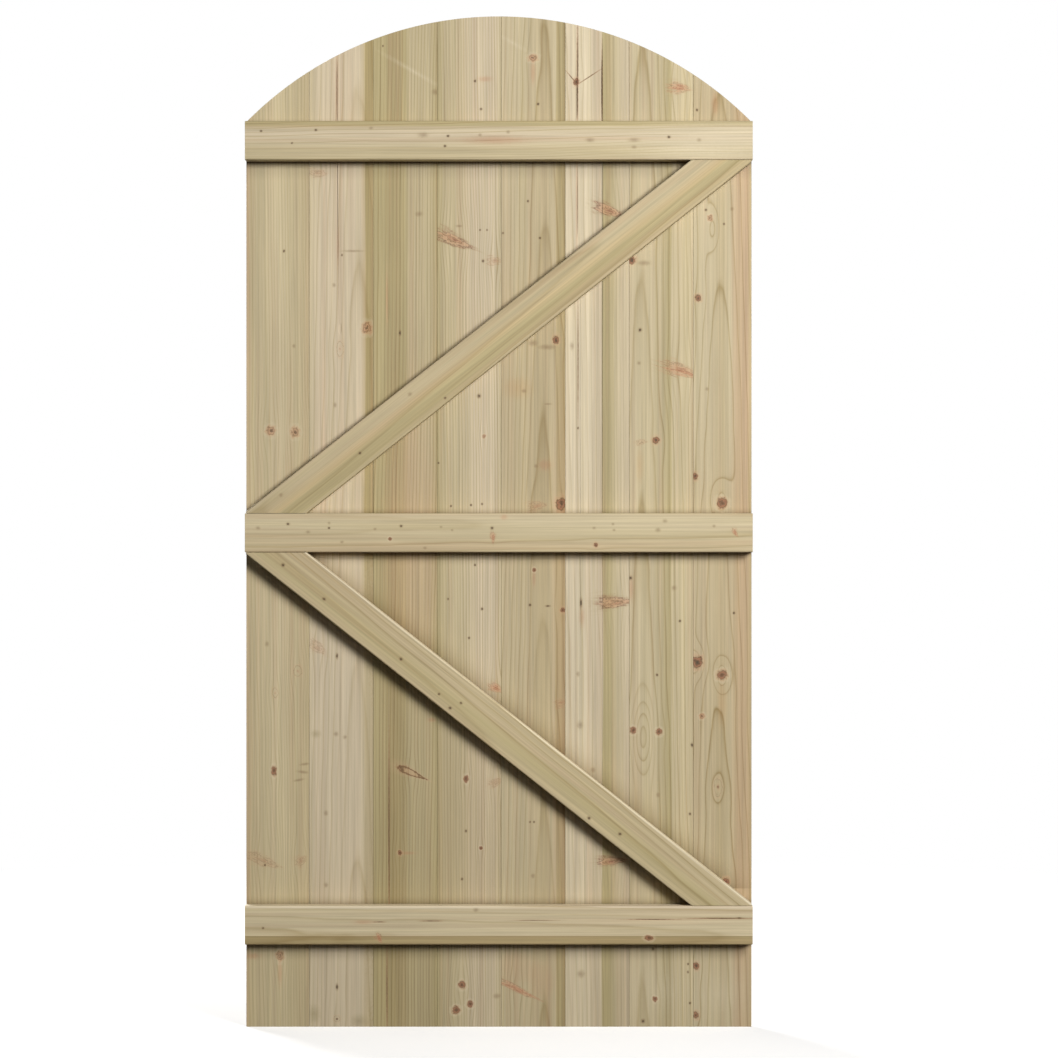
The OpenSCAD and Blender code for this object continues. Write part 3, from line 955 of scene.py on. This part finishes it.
def boardShape(index):
    left, right = boardEdges[index:index + 2]
    first, last = index == 0, index == matchboard["count"] - 1
    outline = [(right, 0), (right, boardThick)] if last else tongueEdge(right)
    outline += [(left, boardThick), (left, 0)] if first else grooveEdge(left)
    bm = bmesh.new()
    bm.faces.new([bm.verts.new((x, boardBack + y, 0)) for x, y in outline])
    for step in range(1, matchboard["slices"]):
        cut = left + (right - left) * step / matchboard["slices"]
        bmesh.ops.bisect_plane(bm, geom=bm.verts[:] + bm.edges[:] + bm.faces[:], dist=close,
                               plane_co=(cut, 0, 0), plane_no=(1, 0, 0))
    raised = bmesh.ops.extrude_face_region(bm, geom=bm.faces[:])
    for vert in raised["geom"]:
        if isinstance(vert, bmesh.types.BMVert):
            vert.co.z = archHeight(vert.co.x)
    bmesh.ops.recalc_face_normals(bm, faces=bm.faces[:])

    def onFace(edge, plane):
        return all(abs(vert.co.y - plane) < close for vert in edge.verts)

    rims = [edge for edge in bm.edges if edge.calc_face_angle(0) > matchboard["rimAngle"]
            and (onFace(edge, boardBack) or onFace(edge, boardFront))]
    ease(bm, rims, matchboard["arris"], matchboard["arrisSteps"])
    return pieceFrom(bm, f"board_{index + 1}_timber")


# Painted shade at the boards' feet, darker and a little yellower towards the ground: mm from the middle of
# the gate, and what it does to the tint
footLow = -gateTop / 2 * mm
footShadeReach = 750
paintedFootShade = {"low": footLow, "high": footLow + footShadeReach, "tint": (0.90, 0.89, 0.85, 1.0)}

# How far the painted shade reaches from each ledge, in mm
paintedShadeReach = {
    "bottom_rail": 20.0,
    "middle_rail": 14.0,
    "top_rail": 10.0,
    "lower_brace": 44.0,
    "upper_brace": 12.0,
}
# Painted shadow in the corners under the rails and a brace: reach in mm
paintedCornerShadows = [
    {"node": "bottom_rail", "reach": 11.0, "fall": 1.3, "tint": (0.22, 0.15, 0.07, 1.0)},
    {"node": "middle_rail", "reach": 7.0, "fall": 1.3, "tint": (0.20, 0.12, 0.05, 1.0)},
    {"node": "top_rail", "reach": 7.0, "fall": 1.3, "tint": (0.50, 0.42, 0.30, 1.0)},
    # a wider, fainter painted shadow under the top rail
    {"node": "top_rail", "reach": 34.0, "fall": 1.0, "tint": (0.70, 0.70, 0.71, 1.0)},
    {"node": "lower_brace", "reach": 13.0, "fall": 1.3, "tint": (0.30, 0.24, 0.14, 1.0)},
]


def ledgeOf(node, side, grimeAndShade):
    # side is 1 along the upper edge of a rail or brace, and -1 along the lower one
    low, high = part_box(node)
    lean = braceLean.get(node)
    upright, halfBay = Vector((0, 0, 1)), gateTop
    if lean:
        upright = Matrix.Rotation(-lean * braceSlope(node), 3, "Y") @ upright
        halfBay = (high.z - low.z) / 2
    point = Vector((0, boardBack, middle(node).z)) + upright * side * stock["width"] / 2
    return grimeAndShade | {"point": point, "normal": upright, "halfBay": halfBay}


ledges = [ledgeOf(node, 1, paintedLedgeShade | {"reach": reach}) for node, reach in paintedShadeReach.items()]
# painted shadow along the lower edges of the rails and the lower brace
ledges += [ledgeOf(paintedShadow["node"], -1, paintedShadow) for paintedShadow in paintedCornerShadows]

for index, node in enumerate(boardNames):
    looks = boardLooks[index]
    left, right = boardEdges[index:index + 2]
    piece = boardShape(index)
    carve(piece, holeCutter("boardHoles", nailsThrough(left, right), looks.get("cracks", []), boardBack))
    centre = Vector(((left + right) / 2, (boardBack + boardFront) / 2, gateTop / 2))
    looks = looks | {"footShade": paintedFootShade, "ledges": ledges}
    name, width = f"timber of board {index + 1}", (right - left) * mm
    finish = timber(name, looks, centre, 0.0, width, boardBack, index + 1)
    dress(piece, finish, node)
print("gate: boards made")

# Rails: bands are mm from the top edge down
railSeed = 11  # their figures are numbered from here, and the boards' from 1
railLooks = {
    "bottom_rail": {
        "tone": 1.00, "pith": (20.0, 60.0), "ring": 7.0, "slope": 0.010, "sway": 16.0, "line": 0.68,
        # the cream strip along the top edge is a painted highlight on the rounded arris
        "bands": [(0, "cream"), (3, "cream"), (6, "straw"), (53, "straw"), (53.8, "moss"),
                  (55, "umber"), (69, "umber")],
        "waver": 1.5,
        "marks": [
            mark("shake", col=379, row=922, wide=0.8, long=10.0),
            mark("shake", col=431, row=921, wide=0.8, long=17.0),
            mark("shake", col=535, row=920.5, wide=0.5, long=32.0),
            mark("shake", col=653, row=919.5, wide=0.8, long=40.0),
            mark("shake", col=723, row=918.5, wide=1.0, long=50.0),
            mark("spike", col=379, row=939, wide=4.0, long=8.0, turn=60),
            mark("blushed", col=363, row=922, wide=3.0, long=14.0),
            mark("knot", col=649, row=938, wide=4.5, long=7.0),
            mark("smudge", col=476, row=910, wide=3.0, long=4.0),
            mark("pin", col=263, row=928, wide=2.0, long=2.4),
            mark("pin", col=739, row=918, wide=1.6, long=4.0),
        ],
        "cracks": [
            crack(col=375, row=921.5, toCol=384, toRow=922.5, wide=0.9, deep=2.5),
            crack(col=423, row=921, toCol=439, toRow=921, wide=0.9, deep=2.5),
            crack(col=519, row=920.5, toCol=551, toRow=920.5, wide=0.6, deep=2.0),
            crack(col=632, row=919.5, toCol=674, toRow=919, wide=1.0, deep=3.0),
            crack(col=697, row=918.5, toCol=750, toRow=918.5, wide=0.9, deep=3.0),
        ],
    },
    "middle_rail": {
        "tone": 1.00, "pith": (-16.0, 64.0), "ring": 6.4, "slope": 0.008, "sway": 14.0, "line": 0.57,
        "bands": [(0, "straw"), (20, "straw"), (40, "lightOlive"), (69, "tan")],
        "marks": [
            mark("smudge", col=258, row=528, wide=2.6, long=3.4),
            mark("pin", col=288, row=524, wide=2.4, long=3.0),
            mark("smudge", col=329, row=523, wide=2.0, long=2.4),
            mark("pin", col=329, row=528, wide=2.0, long=2.4),
            mark("smudge", col=308, row=532, wide=2.6, long=3.4),
            mark("smudge", col=342, row=542, wide=2.2, long=2.8),
            mark("smudge", col=375, row=529, wide=2.0, long=2.4),
            mark("knot", col=390, row=539, wide=3.0, long=3.6),
            mark("pin", col=401, row=526, wide=2.4, long=2.8),
            mark("smudge", col=441, row=527, wide=1.8, long=2.2),
            mark("smudge", col=452, row=530, wide=1.8, long=2.2),
            mark("smudge", col=425, row=548, wide=2.4, long=3.0),
            mark("pin", col=492, row=528, wide=2.6, long=2.8),
            mark("spike", col=493, row=538, wide=4.0, long=9.0, turn=90),
            mark("blushed", col=504, row=517, wide=4.0, long=5.0),
            mark("smudge", col=594, row=528, wide=2.2, long=2.6),
            mark("smudge", col=613, row=524, wide=2.0, long=2.4),
            mark("smudge", col=614, row=530, wide=2.0, long=2.4),
            mark("deadKnot", col=596, row=545, wide=3.6, long=4.0),
            mark("smudge", col=658, row=530, wide=3.4, long=4.0),
            mark("smudge", col=665, row=521, wide=3.0, long=3.6),
            mark("smudge", col=714, row=526, wide=2.2, long=2.6),
            mark("spike", col=735, row=533, wide=4.0, long=7.0, turn=50),
        ],
    },
    "top_rail": {
        "tone": 0.96, "pith": (-62.0, 40.0), "ring": 4.2, "slope": 0.009, "sway": 26.0, "line": 0.9,
        "crisp": 3.0,
        "bands": [(0, "bronze"), (9, "olive"), (11, "straw"), (22, "palePink"), (44, "straw"),
                  (48, "tan"), (52, "lightOlive"), (69, "lightOlive")],
        "marks": [
            mark("bleached", col=724, row=141, wide=36.0, long=90.0),
            mark("bleached", col=690, row=146, wide=20.0, long=80.0),
            mark("pin", col=261, row=131, wide=2.0, long=2.4),
            mark("pin", col=316, row=130, wide=2.2, long=2.6),
            mark("pin", col=292, row=143, wide=1.6, long=2.0),
            mark("smudge", col=371, row=128, wide=2.4, long=3.4),
            mark("smudge", col=423, row=135, wide=4.0, long=8.0),
            mark("pin", col=448, row=136, wide=2.2, long=2.6),
            mark("pin", col=445, row=146, wide=2.2, long=2.6),
            mark("smudge", col=480, row=135, wide=2.4, long=3.0),
            mark("smudge", col=508, row=132, wide=2.6, long=3.0),
            mark("blushed", col=495, row=140, wide=6.0, long=44.0),
            mark("smudge", col=590, row=140, wide=3.6, long=7.0),
            mark("smudge", col=634, row=140, wide=3.4, long=9.0),
            mark("smudge", col=634, row=147, wide=2.6, long=4.0),
            mark("pin", col=669, row=137, wide=2.4, long=3.0),
            mark("smudge", col=699, row=140, wide=2.8, long=3.4),
        ],
    },
}


def easeAlong(bm):
    # the long edges of the stock, before it is turned
    along = [edge for edge in bm.edges if edge.verts[0].co.x * edge.verts[1].co.x < 0]
    ease(bm, along, stock["arris"], stock["arrisSteps"])


def railShape(node):
    low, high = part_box(node)
    bm = bmesh.new()
    place = Matrix.Translation((low + high) / 2) @ Matrix.Diagonal((*(high - low), 1))
    bmesh.ops.create_cube(bm, size=1.0, matrix=place)
    easeAlong(bm)
    ends = [edge for edge in bm.edges if edge.calc_face_angle(0) > stock["endAngle"]]
    ease(bm, ends, stock["endArris"], stock["endSteps"])
    return pieceFrom(bm, f"{node}_timber")


def nailsInto(node):
    spots = []
    for left, right in zip(boardEdges, boardEdges[1:]):
        spots += nailsThrough(left, right, node)
    return spots


for seed, (node, looks) in enumerate(railLooks.items(), railSeed):
    piece = railShape(node)
    carve(piece, holeCutter("railHoles", nailsInto(node), looks.get("cracks", []), railFace))
    turn = radians(90)
    finish = timber(f"timber of {node}", looks, middle(node), turn, stock["width"] * mm, railFace, seed)
    dress(piece, finish, node)
print("gate: rails made")

# Braces: bands are mm across the stock, from its upper edge down
braceSeed = 21
braceLooks = {
    "lower_brace": {
        "tone": 0.98, "pith": (30.0, 66.0), "ring": 6.6, "slope": 0.010, "sway": 16.0, "line": 0.74,
        # the pale strip along the upper edge is a painted highlight on the rounded arris
        "bands": [(0, "pale"), (3, "pale"), (4, "tan"), (24, "tan"), (44, "olive"), (69, "tan")],
        "marks": [
            mark("pin", col=283, row=565, wide=3.0, long=3.4),
            mark("pin", col=324, row=599, wide=2.8, long=3.2),
            mark("pin", col=401, row=659, wide=2.8, long=3.2),
            mark("pin", col=450, row=708, wide=2.6, long=3.0),
            mark("pin", col=439, row=694, wide=2.2, long=2.6),
            mark("pin", col=461, row=703, wide=2.2, long=2.6),
            mark("pin", col=589, row=818, wide=2.8, long=3.2),
            mark("pin", col=620, row=834, wide=2.8, long=3.2),
        ],
    },
    "upper_brace": {
        "tone": 0.95, "pith": (-20.0, 60.0), "ring": 6.8, "slope": 0.010, "sway": 16.0, "line": 0.62,
        "bands": [(0, "straw"), (5, "tan"), (18, "lightOlive"), (34, "honey"), (42, "olive"),
                  (52, "bronze"), (60, "olive"), (69, "tan")],
        "marks": [
            mark("pin", col=360, row=453, wide=2.4, long=2.8),
            mark("smudge", col=281, row=495, wide=2.8, long=3.4),
            mark("smudge", col=410, row=394, wide=3.0, long=3.6),
            mark("pin", col=445, row=398, wide=2.2, long=2.6),
        ],
    },
}


def braceShape(node):
    low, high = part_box(node)
    size = ((high - low).length * stock["overrun"], high.y - low.y, stock["width"])
    slope = Matrix.Rotation(-braceLean[node] * braceSlope(node), 4, "Y")
    bm = bmesh.new()
    bmesh.ops.create_cube(bm, size=1.0, matrix=Matrix.Diagonal((*size, 1)))
    easeAlong(bm)
    bmesh.ops.transform(bm, matrix=Matrix.Translation((low + high) / 2) @ slope, verts=bm.verts[:])
    # trimmed to its bay: both ends on the rails, and the feather end to a blunt nib
    for corner, axis, side in ((low, 0, -1), (high, 0, 1), (low, 2, -1), (high, 2, 1)):
        normal = Vector((0, 0, 0))
        normal[axis] = side
        bmesh.ops.bisect_plane(bm, geom=bm.verts[:] + bm.edges[:] + bm.faces[:], dist=merged,
                               plane_co=corner, plane_no=normal, clear_outer=True)
        bmesh.ops.holes_fill(bm, edges=bm.edges[:])
    return pieceFrom(bm, f"{node}_timber")


for seed, (node, looks) in enumerate(braceLooks.items(), braceSeed):
    piece = braceShape(node)
    carve(piece, holeCutter("braceHoles", nailsInto(node), [], railFace))
    turn = radians(90) - braceLean[node] * braceSlope(node)
    finish = timber(f"timber of {node}", looks, middle(node), turn, stock["width"] * mm, railFace, seed)
    dress(piece, finish, node)
print("gate: braces made")

# Nails keep the solids of the frame and get a galvanised finish
galvanised = {
    "tint": (0.50, 0.51, 0.51, 1.0),
    "dull": (0.30, 0.30, 0.29, 1.0),
    "spangle": 900.0,  # crystals to a metre
    "grimeAndShade": ((350.0, 350.0, 350.0), 3.0, 0.6),  # how fast it changes, per metre; detail and roughness
    "grimeSpan": (0.45, 0.7),
    "grimeShare": 0.7,
    "roughSpan": (0.3, 0.7),
    "roughness": (0.34, 0.55),
    "metallic": 0.9,
    "bump": 0.2,
    "bumpDepth": 0.0003,
}


def zincFinish():
    material = bpy.data.materials.new("galvanised steel")
    material.use_nodes = True
    tree = material.node_tree
    shader = tree.nodes["Principled BSDF"]
    coordinates = addNode(tree, "ShaderNodeTexCoord")
    spangle = addNode(tree, "ShaderNodeTexVoronoi")
    feed(tree, spangle.inputs["Vector"], coordinates.outputs["Object"])
    spangle.inputs["Scale"].default_value = galvanised["spangle"]
    grimeAndShade = noise(tree, coordinates.outputs["Object"], *galvanised["grimeAndShade"])
    patch = mixed(tree, spangle.outputs["Distance"], galvanised["tint"], galvanised["dull"])
    dulled = mapped(tree, grimeAndShade, *galvanised["grimeSpan"], 0.0, galvanised["grimeShare"])
    feed(tree, shader.inputs["Base Color"], mixed(tree, dulled, patch, galvanised["dull"]))
    matt = mapped(tree, grimeAndShade, *galvanised["roughSpan"], *galvanised["roughness"])
    feed(tree, shader.inputs["Roughness"], matt)
    shader.inputs["Metallic"].default_value = galvanised["metallic"]
    roughen(tree, shader, grimeAndShade, galvanised["bump"], galvanised["bumpDepth"])
    return material


zinc = zincFinish()
for name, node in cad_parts.items():
    if name.endswith("_nails"):
        node.data.materials.clear()
        node.data.materials.append(zinc)
print("gate: nails finished")

# Floor and backdrop: white to the lens, plain diffuse to the light
studio = {
    "floorHalf": 40.0,
    "floorBounce": 0.08,  # how pale the floor is to the light that it throws back
    "floorPale": 0.92,  # how pale it is where the lens sees it
    "floorLift": 0.40,  # glow that brings the lit floor up to white
    "fadeFrom": 1.2,  # metres from the gate where the floor starts to run into white
    "fadeTo": 3.2,
    "ambient": 0.03,
}


def cameraLike(tree):
    path = addNode(tree, "ShaderNodeLightPath")
    seen = sums(tree, "MAXIMUM", path.outputs["Is Camera Ray"], path.outputs["Is Glossy Ray"])
    return sums(tree, "MAXIMUM", seen, path.outputs["Is Transmission Ray"])


def makeFloor():
    bm = bmesh.new()
    bmesh.ops.create_grid(bm, x_segments=1, y_segments=1, size=studio["floorHalf"])
    floor = pieceFrom(bm, "studioFloor")
    material = bpy.data.materials.new("studio floor")
    material.use_nodes = True
    tree = material.node_tree
    tree.nodes.remove(tree.nodes["Principled BSDF"])
    output = tree.nodes["Material Output"]
    plain = addNode(tree, "ShaderNodeBsdfDiffuse")
    plain.inputs["Color"].default_value = (studio["floorBounce"],) * 3 + (1.0,)
    lit = addNode(tree, "ShaderNodeBsdfDiffuse")
    lit.inputs["Color"].default_value = (studio["floorPale"],) * 3 + (1.0,)
    lift = addNode(tree, "ShaderNodeEmission")
    lift.inputs["Strength"].default_value = studio["floorLift"]
    shadowed = addNode(tree, "ShaderNodeAddShader")
    tree.links.new(lit.outputs[0], shadowed.inputs[0])
    tree.links.new(lift.outputs[0], shadowed.inputs[1])
    white = addNode(tree, "ShaderNodeEmission")
    coordinates = addNode(tree, "ShaderNodeTexCoord")
    far = vectorSum(tree, "LENGTH", coordinates.outputs["Object"])
    fade = addNode(tree, "ShaderNodeMixShader")
    feed(tree, fade.inputs[0], mapped(tree, far, studio["fadeFrom"], studio["fadeTo"], 0.0, 1.0))
    tree.links.new(shadowed.outputs[0], fade.inputs[1])
    tree.links.new(white.outputs[0], fade.inputs[2])
    shown = addNode(tree, "ShaderNodeMixShader")
    feed(tree, shown.inputs[0], cameraLike(tree))
    tree.links.new(plain.outputs[0], shown.inputs[1])
    tree.links.new(fade.outputs[0], shown.inputs[2])
    tree.links.new(shown.outputs[0], output.inputs["Surface"])
    floor.data.materials.append(material)


def makeWorld():
    world = bpy.data.worlds.new("studio")
    scene.world = world
    world.use_nodes = True
    tree = world.node_tree
    background = tree.nodes["Background"]
    background.inputs["Color"].default_value = (1.0, 1.0, 1.0, 1.0)
    strength = mapped(tree, cameraLike(tree), 0.0, 1.0, studio["ambient"], 1.0)
    feed(tree, background.inputs["Strength"], strength)


makeFloor()
makeWorld()
print("gate: studio set")

# Lamps: place and aim in metres, size of the soft box, power in watts
lamps = {
    "key": {"place": (3.9, -7.0, 3.05), "aim": (0.0, 0.0, 0.95), "size": 2.2, "watts": 505.0},
    "near": {"place": (1.45, -2.6, 2.2), "aim": (0.0, 0.0, 1.2), "size": 0.9, "watts": 48.0},
    "rear": {"place": (-2.0, 3.8, 2.6), "aim": (0.0, 0.0, 0.9), "size": 1.8, "watts": 235.0},
}
for name, lamp in lamps.items():
    light = bpy.data.lights.new(name, "AREA")
    light.shape = "SQUARE"
    light.size = lamp["size"]
    light.energy = lamp["watts"]
    lampObject = bpy.data.objects.new(name, light)
    lampObject.location = lamp["place"]
    aim = Vector(lamp["aim"]) - Vector(lamp["place"])
    lampObject.rotation_euler = aim.to_track_quat("-Z", "Y").to_euler()
    scene.collection.objects.link(lampObject)
print("gate: lamps hung")

view = bpy.data.cameras.new("view")
view.sensor_width = photo["sensor"]
view.lens = photo["sensor"] * photo["distance"] / (photo["side"] * photo["pixel"])
camera = bpy.data.objects.new("view", view)
camera.location = (cameraX, boardBack - photo["distance"], cameraZ)
camera.rotation_euler = (radians(90), 0.0, 0.0)
scene.collection.objects.link(camera)
scene.camera = camera
